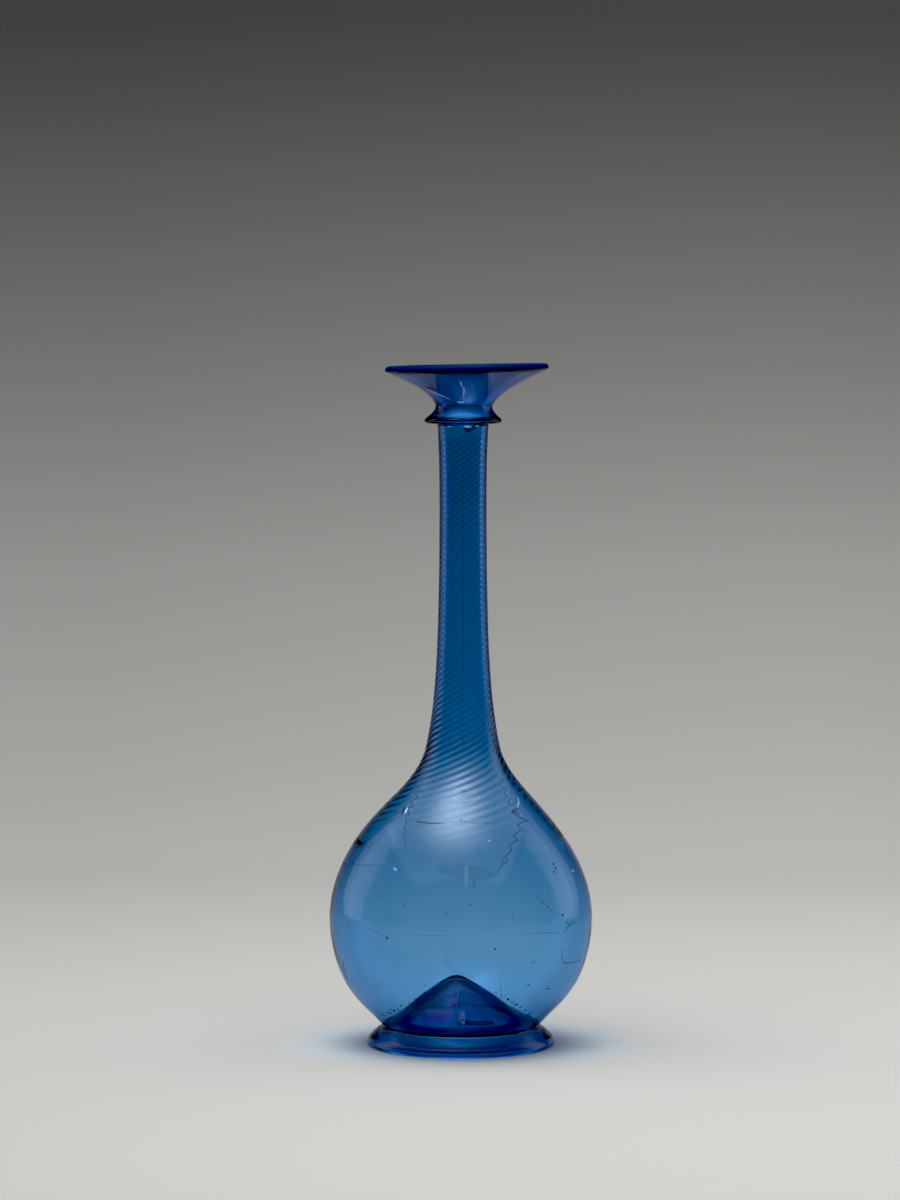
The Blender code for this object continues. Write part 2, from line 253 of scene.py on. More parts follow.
class Outline:
    """The turned outline of the bottle, worked out from its sizes."""
    mouth_bend = 0.62

    def __init__(self, sizes, ribs):
        self.s, self.r = sizes, ribs
        self.crease = sizes.foot_height
        self.widest = self.crease + sizes.belly_height
        self.neck = self.widest + sizes.shoulder_height
        self.collar = self.neck + sizes.neck_height
        self.waist = self.collar + sizes.collar_height
        self.top = self.waist + sizes.mouth_height
        self.rib_start = self.widest + ribs.start
        self.rim_radius = sizes.crease_radius - sizes.kick_wall
        self.rim_level = self.crease - sizes.kick_rim_drop
        self.lean_start = self.widest + 0.5 * sizes.shoulder_height
        self.lean_end = self.widest + 0.85 * sizes.shoulder_height
        self.tip_level = self.top - sizes.lip_rise

    def neck_radius(self, level):
        share = (level - self.neck) / self.s.neck_height
        return (self.s.neck_radius + self.s.neck_root_flare * math.exp(-share / 0.19)
                + self.s.neck_top_flare * share**10)

    def radius(self, level):
        """Outer radius from the crease up to the collar."""
        if level < self.widest:
            share = through(BELLY_OUTLINE, (level - self.crease) / self.s.belly_height)
            return self.s.crease_radius + (self.s.belly_radius - self.s.crease_radius) * share
        if level < self.neck:
            root = self.neck_radius(self.neck)
            share = through(SHOULDER_OUTLINE, (level - self.widest) / self.s.shoulder_height)
            return root + (self.s.belly_radius - root) * share
        return self.neck_radius(level)

    def wall(self, level):
        shoulder = eased(level, self.widest, self.widest + 0.5 * self.s.shoulder_height)
        neck = eased(level, self.widest + 0.75 * self.s.shoulder_height,
                     self.neck + 0.25 * self.s.neck_height)
        thickness = self.s.belly_wall + (self.s.shoulder_wall - self.s.belly_wall) * shoulder
        return thickness + (self.s.neck_wall - self.s.shoulder_wall) * neck

    def kick_level(self, radius):
        fall = self.s.kick_height + self.s.kick_tip - self.rim_level
        slope = math.sqrt(fall**2 - self.s.kick_tip**2) / self.rim_radius
        return self.s.kick_height + self.s.kick_tip - math.hypot(self.s.kick_tip, slope * radius)

    def kick(self, count, top):
        """Rows of the kick's underside, or of its top, from near its tip to its rim."""
        rows = []
        for i in range(1, count + 1):
            share = (i / count) ** 1.3
            level = self.kick_level(self.rim_radius * share) + (self.s.kick_wall if top else 0.0)
            rows.append((self.rim_radius * share, level, 1.0 - share**2))
        return rows

    def foot(self):
        """The foot ring from its inner face over the flat standing ring to the crease."""
        foot_radius = self.s.crease_radius + self.s.foot_spread
        inner_edge = foot_radius - self.s.foot_wall
        points = []
        for share in (0.15, 0.30, 0.44, 0.57, 0.68, 0.78, 0.86, 0.92, 0.965):
            radius = self.rim_radius + (inner_edge - self.rim_radius) * share
            points.append((radius, self.rim_level * (1.0 - share**3)))
        flat = foot_radius - self.s.foot_edge
        points += [(inner_edge, 0.0), (inner_edge + 0.5 * (flat - inner_edge), 0.0), (flat, 0.0)]
        for degrees in (15, 30, 45, 60, 75):
            corner = math.radians(degrees)
            points.append((foot_radius - self.s.foot_edge * (1.0 - math.sin(corner)),
                           FOOT_OUTLINE[0][0] * self.s.foot_height * (1.0 - math.cos(corner))))
        for height in steps(FOOT_OUTLINE[0][0], 1.0, 18):
            reach = through(FOOT_OUTLINE, height)
            points.append((self.s.crease_radius + self.s.foot_spread * reach, self.s.foot_height * height))
        return points

    def rib_rows(self, row_turn):
        """Levels and turns of the rows that follow the ribs, from the shoulder to the collar."""
        level, turn, rows = self.rib_start, 0.0, []
        while level < self.collar:
            rows.append((level, turn))
            low = 1.0 - (level - self.rib_start) / (self.collar - self.rib_start)
            rise = self.r.rise_on_neck + (self.r.rise_on_shoulder - self.r.rise_on_neck) * low**5
            level += rise * row_turn / math.tau
            turn += row_turn
        return rows

    def rib_strength(self, level):
        on_neck = eased(level, self.neck - 0.1 * self.s.shoulder_height, self.neck + 0.4 * self.s.neck_height)
        return (eased(level, self.rib_start, self.rib_start + self.r.fade)
                * (1.0 - self.r.softening * on_neck)
                * (1.0 - eased(level, self.collar - self.r.top_fade, self.collar)))

    def collar_ring(self, count):
        return [(self.s.waist_radius + self.s.collar_stand * through(COLLAR_OUTLINE, height),
                 self.collar + self.s.collar_height * height) for height in steps(0.03, 1.0, count)]

    def collar_groove(self, count):
        """The inside of the collar, which was blown hollow, from the neck up to the waist."""
        flare = [(self.s.waist_radius + self.s.collar_stand * through(COLLAR_OUTLINE, height),
                  self.collar + self.s.collar_height * height,
                  self.s.collar_wall + (self.s.waist_wall - self.s.collar_wall) * eased(height, 0.7, 1.1))
                 for height in steps(0.56, 1.0, count)]
        flare = self.inner(flare)
        bore, low = self.radius(self.collar) - self.s.neck_wall, self.collar - 0.1 * self.s.collar_height
        back = [(bore + (flare[0][0] - bore) * eased(level, low, flare[0][1]), level)
                for level in steps(low, flare[0][1], count)]
        return back + flare

    def mouth(self, count):
        """The funnel's outer curve from the waist to the lip's tip, as (radius, level, wall)."""
        curve = []
        for i in range(count + 1):
            reach = (i / count) ** 1.7
            radius = self.s.waist_radius + (self.s.mouth_radius - self.s.waist_radius) * reach
            level = self.waist + (self.tip_level - self.waist) * reach**self.mouth_bend
            thinned = eased(i / count, 0.0, 0.8)
            wall = self.s.waist_wall + (self.s.mouth_wall - self.s.waist_wall) * thinned
            curve.append((radius, level, wall))
        return curve

    def lip(self):
        """The lip's fold from its tip over its crown to its inner edge."""
        return [(self.s.mouth_radius - self.s.lip_fold * inwards, self.top - self.s.lip_rise * (1.0 - rise))
                for inwards, rise in LIP_OUTLINE]

    def inner(self, curve):
        """The inner side of (radius, level, wall) rows, each wall measured square to the outside."""
        last, points = len(curve) - 1, []
        for i, (radius, level, thickness) in enumerate(curve):
            before, after = curve[max(i - 1, 0)], curve[min(i + 1, last)]
            run, climb = after[0] - before[0], after[1] - before[1]
            size = math.hypot(run, climb)
            points.append((radius - thickness * climb / size, level + thickness * run / size))
        return points

    def inside(self, mouth):
        """The inside from the lip down through the bore and round the body to the kick's rim."""
        fold = self.s.mouth_radius - 1.04 * self.s.lip_fold
        groove = self.collar_groove(12)
        levels = steps(self.crease, self.widest, 30, 1.3) + steps(self.widest, self.neck, 26)
        levels += steps(self.neck, groove[0][1], 24)
        body = self.inner([(self.radius(level), level, self.wall(level)) for level in levels])
        funnel = [point for point in self.inner(mouth) if point[0] < fold]
        return list(reversed(body + groove + funnel))

    def rows(self):
        """The whole skin as (radius, level, turn, rib, kick) rows, from under the kick to its top."""
        mouth = self.mouth(26)
        ribs = self.rib_rows(math.radians(10.0))
        top_turn = ribs[-1][1]
        plain = self.foot()
        plain += [(self.radius(level), level) for level in steps(self.crease, self.rib_start, 44, 1.2)]
        upper = [(self.radius(self.collar), self.collar)] + self.collar_ring(18)
        upper += [(radius, level) for radius, level, _ in mouth] + self.lip() + self.inside(mouth)
        rows = [(radius, level, 0.0, 0.0, kick) for radius, level, kick in self.kick(18, False)]
        rows += [(radius, level, 0.0, 0.0, 0.0) for radius, level in plain]
        rows += [(self.radius(level), level, turn, self.rib_strength(level), 0.0) for level, turn in ribs]
        rows += [(radius, level, top_turn, 0.0, 0.0) for radius, level in upper]
        over_kick = reversed(self.kick(18, True)[:-1])
        return rows + [(radius, level, top_turn, 0.0, kick) for radius, level, kick in over_kick]


def turned_skin(outline, columns):
    """Turn the outline into one closed mesh that carries each row's turn and rib strength."""
    skin = bmesh.new()
    turn_layer = skin.verts.layers.float.new("turn")
    rib_layer = skin.verts.layers.float.new("rib")
    kick_layer = skin.verts.layers.float.new("kick")
    rings = []
    for radius, level, turn, rib, kick in outline.rows():
        ring = []
        for column in range(columns):
            angle = math.tau * column / columns
            vert = skin.verts.new((radius * math.cos(angle), radius * math.sin(angle), level))
            vert[turn_layer], vert[rib_layer], vert[kick_layer] = turn, rib, kick
            ring.append(vert)
        rings.append(ring)
    for low, high in zip(rings, rings[1:]):
        bridge(skin, low, high)
    under_tip = skin.verts.new((0.0, 0.0, outline.kick_level(0.0)))
    over_tip = skin.verts.new((0.0, 0.0, outline.kick_level(0.0) + outline.s.kick_wall))
    over_tip[turn_layer] = rings[-1][0][turn_layer]
    under_tip[kick_layer] = over_tip[kick_layer] = 1.0
    for a in range(columns):
        b = (a + 1) % columns
        skin.faces.new((under_tip, rings[0][b], rings[0][a])).smooth = True
        skin.faces.new((over_tip, rings[-1][a], rings[-1][b])).smooth = True
    return meshed(skin, "bottle_glass")


def lip_band(outline, columns):
    """A thin band over the folded lip, where the doubled glass looks solid."""
    band = bmesh.new()
    curve = [(radius, level) for radius, level, _ in outline.mouth(26)[-2:-1]] + outline.lip()[:-1]
    last, rings = len(curve) - 1, []
    for i, (radius, level) in enumerate(curve):
        before, after = curve[max(i - 1, 0)], curve[min(i + 1, last)]
        run, climb = after[0] - before[0], after[1] - before[1]
        size = math.hypot(run, climb) / LIP_BAND_LIFT
        radius, level = radius + climb / size, level - run / size
        ring = []
        for a in range(columns):
            angle = math.tau * a / columns
            ring.append(band.verts.new((radius * math.cos(angle), radius * math.sin(angle), level)))
        rings.append(ring)
    for low, high in zip(rings, rings[1:]):
        bridge(band, low, high)
    return meshed(band, "lip_depth")


class Tree:
    """Shorthand for building a node tree."""

    def __init__(self, tree):
        self.tree = tree

    def add(self, kind, inputs=(), **settings):
        node = self.tree.nodes.new(kind)
        for name, value in settings.items():
            setattr(node, name, value)
        for key, value in dict(inputs).items():
            socket = node.inputs[key]
            if isinstance(value, bpy.types.NodeSocket):
                self.tree.links.new(value, socket)
            else:
                socket.default_value = value
        return node

    def math(self, operation, a, b=0.0):
        return self.add("ShaderNodeMath", {0: a, 1: b}, operation=operation).outputs[0]

    def product(self, *factors):
        result = factors[0]
        for factor in factors[1:]:
            result = self.math('MULTIPLY', result, factor)
        return result

    def vector(self, operation, a, b=None, scale=None):
        inputs = {0: a}
        if b is not None:
            inputs[1] = b
        if scale is not None:
            inputs["Scale"] = scale
        return self.add("ShaderNodeVectorMath", inputs, operation=operation).outputs[0]

    def apart(self, vector):
        """The X, Y and Z of a vector."""
        return self.add("ShaderNodeSeparateXYZ", {0: vector}).outputs

    def mix(self, share, first, second, blend_type='MIX'):
        """Blend two colours, each a socket or three numbers."""
        first, second = (tone if isinstance(tone, bpy.types.NodeSocket) else (*tone, 1.0)
                         for tone in (first, second))
        return self.add("ShaderNodeMix", {"Factor": share, 6: first, 7: second}, data_type='RGBA',
                        blend_type=blend_type).outputs[2]

    def row_value(self, name):
        """A number that each row of the glass carries."""
        return self.add("GeometryNodeInputNamedAttribute", {"Name": name},
                        data_type='FLOAT').outputs["Attribute"]

    def move(self, geometry, **how):
        return self.add("GeometryNodeSetPosition", {"Geometry": geometry, **how}).outputs[0]

    def ramp(self, value, low, high, start=0.0, end=1.0, kind='LINEAR'):
        """Lead a number from start, where value is low, to end, where it is high."""
        return self.add("ShaderNodeMapRange", {"Value": value, "From Min": low, "From Max": high,
                                               "To Min": start, "To Max": end},
                        interpolation_type=kind).outputs["Result"]

    def smooth_step(self, value, low, high):
        return self.ramp(value, low, high, kind='SMOOTHSTEP')


def wrythen_tree():
    """Geometry nodes that twist the neck, press its ribs, and lean it as the maker left it."""
    group = bpy.data.node_groups.new("wrythen_glass", "GeometryNodeTree")
    face = group.interface
    face.new_socket(name="Geometry", in_out='INPUT', socket_type='NodeSocketGeometry')
    kinds = {"Rib Count": 'NodeSocketInt', "Glass": 'NodeSocketMaterial'}
    for name in ("Rib Count", "Rib Depth", "Rear Softening", "Waviness", "Kick Waviness", "Shoulder Level",
                 "Neck Level", "Neck Offset", "Collar Level", "Waist Level", "Top Level", "Mouth Offset",
                 "Mouth Slope", "Kick Offset", "Glass"):
        face.new_socket(name=name, in_out='INPUT', socket_type=kinds.get(name, 'NodeSocketFloat'))
    face.new_socket(name="Geometry", in_out='OUTPUT', socket_type='NodeSocketGeometry')
    t = Tree(group)
    given = group.nodes.new("NodeGroupInput").outputs
    place = t.add("GeometryNodeInputPosition").outputs[0]

    apart = t.apart(place)
    angle_round = t.math('ARCTAN2', apart["Y"], apart["X"])
    wave = t.math('COSINE', t.product(angle_round, given["Rib Count"]))
    valley = t.product(t.math('SUBTRACT', 1.0, wave), 0.5)
    turn = t.row_value("turn")
    behind = t.smooth_step(t.math('SINE', t.math('ADD', angle_round, turn)), -0.2, 0.5)
    behind = t.product(behind, t.smooth_step(apart["Z"], given["Shoulder Level"], given["Neck Level"]))
    kept = t.math('SUBTRACT', 1.0, t.product(behind, given["Rear Softening"]))
    depth = t.product(valley, t.product(t.row_value("rib"), kept), given["Rib Depth"])
    flat = t.vector('NORMALIZE', t.vector('MULTIPLY', place, (1.0, 1.0, 0.0)))
    ribbed = t.move(given["Geometry"], Offset=t.vector('SCALE', flat, scale=t.product(depth, -1.0)))

    turned = t.add("ShaderNodeVectorRotate", {"Vector": place, "Angle": turn}, rotation_type='Z_AXIS')
    twisted = t.move(ribbed, Position=turned.outputs[0])

    noise = t.add("ShaderNodeTexNoise", {"Scale": 62.0, "Detail": 1.0}, noise_dimensions='3D').outputs[0]
    kick = t.row_value("kick")
    rough = t.math('ADD', t.product(t.smooth_step(kick, 0.0, 0.3), given["Kick Waviness"]), 1.0)
    swell = t.product(t.math('SUBTRACT', noise, 0.5), t.product(given["Waviness"], 2.0), rough,
                      t.smooth_step(apart["Z"], 0.001, 0.012))
    outwards = t.add("GeometryNodeInputNormal").outputs[0]
    blown = t.move(twisted, Offset=t.vector('SCALE', outwards, scale=swell))

    lean = t.product(t.smooth_step(apart["Z"], given["Shoulder Level"], given["Neck Level"]),
                     given["Neck Offset"])
    flare = t.product(t.smooth_step(apart["Z"], given["Collar Level"], given["Top Level"]),
                      given["Mouth Offset"])
    tilt = t.product(apart["X"], given["Mouth Slope"],
                     t.smooth_step(apart["Z"], given["Waist Level"], given["Top Level"]))
    aside = t.math('ADD', t.math('ADD', lean, flare), t.product(kick, given["Kick Offset"]))
    leaned = t.move(blown, Offset=t.add("ShaderNodeCombineXYZ", {"X": aside, "Z": tilt}).outputs[0])

    real = t.add("GeometryNodeRealizeInstances", {"Geometry": leaned}).outputs[0]
    finished = t.add("GeometryNodeSetMaterial", {"Geometry": real, "Material": given["Glass"]}).outputs[0]
    t.add("NodeGroupOutput", {0: finished})
    return group


def with_nodes(name, mesh, group, values):
    """Run a geometry node tree on a mesh and return the result as a plain object."""
    source = bpy.data.objects.new(name + "_source", mesh)
    bpy.context.scene.collection.objects.link(source)
    modifier = source.modifiers.new("nodes", 'NODES')
    modifier.node_group = group
    for item in group.interface.items_tree:
        if item.item_type == 'SOCKET' and item.in_out == 'INPUT' and item.name in values:
            modifier[item.identifier] = values[item.name]
    graph = bpy.context.evaluated_depsgraph_get()
    result = bpy.data.meshes.new_from_object(source.evaluated_get(graph))
    bpy.data.objects.remove(source, do_unlink=True)
    piece = bpy.data.objects.new(name, result)
    bpy.context.scene.collection.objects.link(piece)
    return piece


def principled(name):
    """A new material with its Principled shader and a tree helper."""
    material = bpy.data.materials.new(name)
    material.use_nodes = True
    tree = Tree(material.node_tree)
    return material, material.node_tree.nodes["Principled BSDF"], tree


def cobalt_glass(look):
    """Clear cobalt glass that takes its colour from its depth."""
    material, shader, t = principled("cobalt_glass")
    kick = t.add("ShaderNodeAttribute", attribute_name="kick").outputs["Fac"]
    place = t.add("ShaderNodeTexCoord").outputs["Object"]
    height = t.apart(place)["Z"]
    deep = t.mix(t.smooth_step(height, *FOOT_BLEND), WHITE, look.foot_tint)
    drawn = t.product(t.smooth_step(height, *NECK_BLEND), t.smooth_step(height, *COLLAR_BLEND))
    deep = t.mix(drawn, deep, look.neck_tint)
    deep = t.mix(t.smooth_step(height, *FUNNEL_BLEND), deep, look.funnel_tint)
    cloud = t.add("ShaderNodeTexNoise", {"Vector": place, "Scale": look.cloud_scale, "Detail": 4.0,
                                         "Roughness": 0.6}).outputs[0]
    cloudy = t.mix(t.smooth_step(cloud, 0.42, 0.70), WHITE, look.cloud_tint)
    deep = t.mix(1.0, deep, cloudy, 'MULTIPLY')
    tint = t.mix(t.smooth_step(kick, 0.0, 0.15), deep, look.kick_tint)
    t.tree.links.new(tint, shader.inputs["Base Color"])
    for name, value in (("Transmission Weight", 1.0), ("Roughness", look.roughness), ("IOR", look.ior),
                        ("Thin Film Thickness", look.film_thickness), ("Thin Film IOR", look.film_ior)):
        shader.inputs[name].default_value = value
    volume = t.add("ShaderNodeVolumeAbsorption", {"Color": (*look.absorption, 1.0), "Density": look.density})
    t.tree.links.new(volume.outputs[0], t.tree.nodes["Material Output"].inputs["Volume"])
    return material


class GLASSBOTTLE_OT_blow_bottle(bpy.types.Operator):
    """Blow the bottle's glass with its twisted ribs, in place of the plain solid"""
    bl_idname = "glassbottle.blow_bottle"
    bl_label = "Blow Bottle"

    def execute(self, context):
        scene = context.scene
        outline = Outline(scene.bottle_sizes, scene.bottle_ribs)
        sizes, ribs, look = scene.bottle_sizes, scene.bottle_ribs, scene.bottle_glass
        mesh = turned_skin(outline, ribs.count * GLASS_COLUMNS)
        values = {
            "Rib Count": ribs.count, "Rib Depth": ribs.depth, "Rear Softening": ribs.rear_softening,
            "Waviness": look.waviness, "Kick Waviness": look.kick_waviness,
            "Shoulder Level": outline.lean_start, "Neck Level": outline.lean_end,
            "Neck Offset": sizes.neck_offset, "Collar Level": outline.collar, "Waist Level": outline.waist,
            "Top Level": outline.tip_level, "Mouth Offset": sizes.mouth_offset,
            "Mouth Slope": math.tan(sizes.mouth_tilt), "Kick Offset": sizes.kick_offset,
            "Glass": cobalt_glass(look),
        }
        tree = wrythen_tree()
        bottle = with_nodes("bottle_glass", mesh, tree, values)
        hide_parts("bottle")
        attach(bottle, BODY)
        finish = (look.lip_roughness, look.lip_cover)
        values["Glass"], shader = mark_surface("deep_lip", look.lip_tint, finish)
        shader.inputs["Specular IOR Level"].default_value = 0.0
        lip = with_nodes("lip_depth", lip_band(outline, ribs.count * LIP_COLUMNS), tree, values)
        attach(lip, BODY)
        return {'FINISHED'}


# Marks on the glass are placed as the stage camera sees them, in a picture 900 wide and 1200 high
PICTURE_WIDTH, PICTURE_HEIGHT = 900.0, 1200.0

# Cracks, drawn as dark lines of painted shade, as (width in millimetres, places along the crack)
CRACKS = (
    (0.3, ((405.5, 807), (404, 811), (402, 815))),
    (0.2, ((423, 783), (418, 787), (421, 790), (415, 794), (418, 797), (411, 801),
            (413, 806), (408, 809), (409, 814), (405, 818), (407, 823), (404, 827),
            (406, 832), (403.6, 837), (405.6, 842), (404, 848))),
    (0.12, ((404, 848), (396, 853), (388, 856), (384, 862))),
    (0.22, ((495, 775), (503, 781), (500, 785), (507, 790), (504, 794), (511, 799),
            (508, 803), (518, 808), (511, 812), (521, 818), (527, 821), (517, 825),
            (521, 830), (513, 835), (517, 840), (509, 846), (512, 850), (506, 856),
            (507, 861), (500, 867), (497, 875))),
    (0.14, ((506, 856), (502, 862), (503, 868))),
    (0.18, ((417, 822), (434, 823.5), (444, 823))),
    (0.08, ((444, 823), (461, 822), (485, 823), (498, 823))),
    (0.22, ((461, 791), (464, 791.8), (467, 791))),
    (0.22, ((342.5, 862), (344, 864), (347, 864))),
    (0.12, ((351, 861), (356, 865), (368, 865), (384, 866))),
    (0.09, ((365, 927), (378, 933), (390, 938))),
    (0.07, ((410, 935.5), (428, 936), (447, 935.5))),
    (0.1, ((521, 934), (540, 933), (564, 932))),
    (0.18, ((565, 922), (570, 925), (566.7, 928), (564, 932.5), (563, 935))),
    (0.16, ((570, 924), (577, 922))),
    (0.15, ((561.7, 948), (561.7, 957), (563, 962.5), (569, 963), (576, 962), (581, 961))),
    (0.24, ((545, 989), (548, 988.4), (550, 989))),
    (0.18, ((455.5, 376), (457.6, 380), (456.4, 384), (459.6, 388), (461, 393), (460.2, 398),
            (461.2, 401))),
    (0.2, ((558, 1005), (556, 1009), (552, 1015))),
    (0.16, ((343, 960), (344, 964), (343.5, 967))),
    (0.08, ((442, 947), (446, 958), (453, 975))),
    (0.08, ((501, 977), (500.6, 988), (501, 1000))),
    (0.14, ((474, 877), (474.4, 882), (474, 887))),
    (0.1, ((463.5, 452), (463, 520), (463.4, 600), (462.8, 680), (463.2, 752))),
)

# Painted highlights where the breaks would catch the light, in the same way
PAINTED_GLINTS = (
    (0.34, ((407.6, 808), (406.4, 811), (405, 813.6))),
    (0.1, ((517.5, 797), (518.6, 802), (517, 808))),
    (0.26, ((408, 381), (421, 386.5), (436, 393), (450, 399))),
    (0.12, ((412, 385), (424, 390), (438, 395.5))),
    (0.3, ((457, 401.4), (460.5, 402.4), (464, 401.6))),
    (0.12, ((460, 380.6), (462, 386))),
    (0.14, ((463.6, 386.6), (464.2, 391), (463.4, 396))),
    (0.22, ((488, 840.6), (490.4, 841.4))),
    (0.2, ((571.6, 870.6), (574, 871.2))),
    (0.08, ((393, 869), (398, 869.4))),
    (0.08, ((395.2, 867), (395.8, 871.6))),
)

# Specks, as (radius in millimetres, place)
SPECKS = (
    (0.2, (418, 822)), (0.16, (420.4, 821.4)), (0.2, (422.6, 822.6)), (0.14, (425.2, 821.8)),
    (0.12, (429, 822.6)), (0.14, (433, 823.4)), (0.1, (438, 823)), (0.2, (461, 819.6)),
    (0.3, (513.4, 810)), (0.34, (515.6, 812.4)), (0.22, (518.4, 814.6)),
    (0.26, (553.6, 864.4)), (0.2, (555.4, 868)), (0.22, (554.6, 872)),
    (0.16, (537.5, 897.5)), (0.16, (541.7, 901.7)), (0.12, (543, 903.2)), (0.16, (547.5, 906.7)),
    (0.16, (551.7, 911)), (0.34, (387, 938)), (0.26, (562.5, 915)),
    (0.08, (415, 952)), (0.08, (419.4, 955.4)), (0.08, (425, 959)), (0.16, (425, 985)),
    (0.14, (470, 905)), (0.12, (512, 918)), (0.14, (380, 898)), (0.16, (356, 884)),
    (0.14, (533, 962)), (0.18, (495, 949)), (0.12, (446, 914)), (0.14, (404, 905)),
    (0.14, (370, 960)), (0.16, (528, 985)), (0.12, (436, 842)), (0.12, (478, 850)),
)


# Lines of the chips, as (surface, width in millimetres, lift in crack depths, places); the edges are dark
# painted shade and the faces after them are painted highlights
CHIP_EDGES = (
    ("skin", 1.0, 2.0, ((405, 806.6), (403, 811), (401.4, 815.6))),
    ("neck", 0.22, 3.0, ((463.8, 427.2), (467.2, 432.6), (474, 429.4), (478.8, 426.4))),
)
# Painted highlights on the chips' faces
CHIP_HIGHLIGHTS = (
    ("neck", 0.85, 4.0, ((463.6, 426.4), (471.6, 426.6))),
    ("neck", 0.5, 4.0, ((474.6, 426.2), (478.8, 426))),
    ("neck", 0.3, 4.0, ((448, 426.4), (452, 426.6))),
)

# Patches, as (surface, kind, corners in order)
PATCHES = (
    # The shade patch is painted shade; the chip patch is a real chip drawn in dark painted shade
    ("skin", "shade", ((436, 869), (448, 865.5), (465, 864.5), (482, 867.5), (497, 875),
                       (484, 880), (466, 880.5), (449, 876))),
    ("skin", "bloom", ((464.6, 868), (467.6, 868), (468, 885), (465, 885))),
    ("neck", "chip", ((464, 426.4), (478.6, 426), (474, 429.2), (467.4, 432.6))),
    ("kick", "stain", ((425, 1016), (436, 1011), (450, 1012), (449, 1019), (436, 1021))),
    ("kick", "stain", ((429, 1016), (437, 1013), (446, 1014), (444, 1018), (436, 1019))),
    ("kick", "stain", ((421, 1017), (432, 1009), (452, 1010), (453, 1020), (436, 1022))),
    ("kick", "stain", ((433, 1016), (438, 1014), (443, 1015), (441, 1017.4), (437, 1018))),
    ("kick", "stain", ((448, 1001), (455, 997.6), (461, 1002), (454, 1006))),
    ("kick", "stain", ((450, 1001), (456, 999), (459, 1002), (454, 1004.5))),
    ("kick", "stain", ((454, 1015), (457, 1013.6), (459.4, 1016), (456.6, 1018))),
)

# Painted highlights down the kick, as (width, places), and dirt round it, as (radius, place), in millimetres
KICK_PAINTED_HIGHLIGHTS = ((0.7, ((458.6, 986), (458, 996), (457.4, 1008))),
                (0.4, ((459, 984), (457.6, 1000), (457, 1022))))
KICK_DIRT = ((0.6, (388, 1012)), (0.5, (391, 1013)), (0.65, (394, 1010)), (0.5, (398, 1009)),
             (0.44, (401, 1005.5)), (0.3, (409, 1002)), (0.3, (415, 998.6)), (0.3, (424, 993)),
             (0.6, (508, 999)), (0.44, (510.4, 1001.4)), (0.4, (513, 1002)), (0.6, (516, 1004.4)),
             (0.5, (520, 1006.8)), (0.36, (502, 995.4)), (0.3, (496, 992.2)), (0.5, (525, 1010)),
             (0.26, (433, 987.6)), (0.6, (384, 1015)), (0.26, (489, 988)), (0.5, (530, 1012.6)),
             (0.34, (505.6, 995)), (0.3, (514.6, 999.4)), (0.34, (390.4, 1008.6)), (0.4, (386.6, 1015.6)))

# Widest crack in millimetres that is drawn as a faint hairline
HAIRLINE = 0.12

# Finishes of the marks, as (roughness, how much of it covers the glass)
CRACK_FINISH, HAIRLINE_FINISH, PAINTED_GLINT_FINISH, SPECK_FINISH = (0.5, 0.8), (0.5, 0.45), (0.3, 1.0), (0.6, 1.0)
EDGE_FINISH, CHIP_HIGHLIGHT_FINISH, DIRT_FINISH, PAINTED_HIGHLIGHT_FINISH = (0.5, 1.0), (0.2, 1.0), (0.8, 1.0), (0.25, 0.35)
PAINTED_SHADE_FINISH, BLOOM_FINISH, CHIP_FINISH, STAIN_FINISH = (0.5, 0.20), (0.6, 0.13), (0.4, 0.6), (0.5, 0.18)


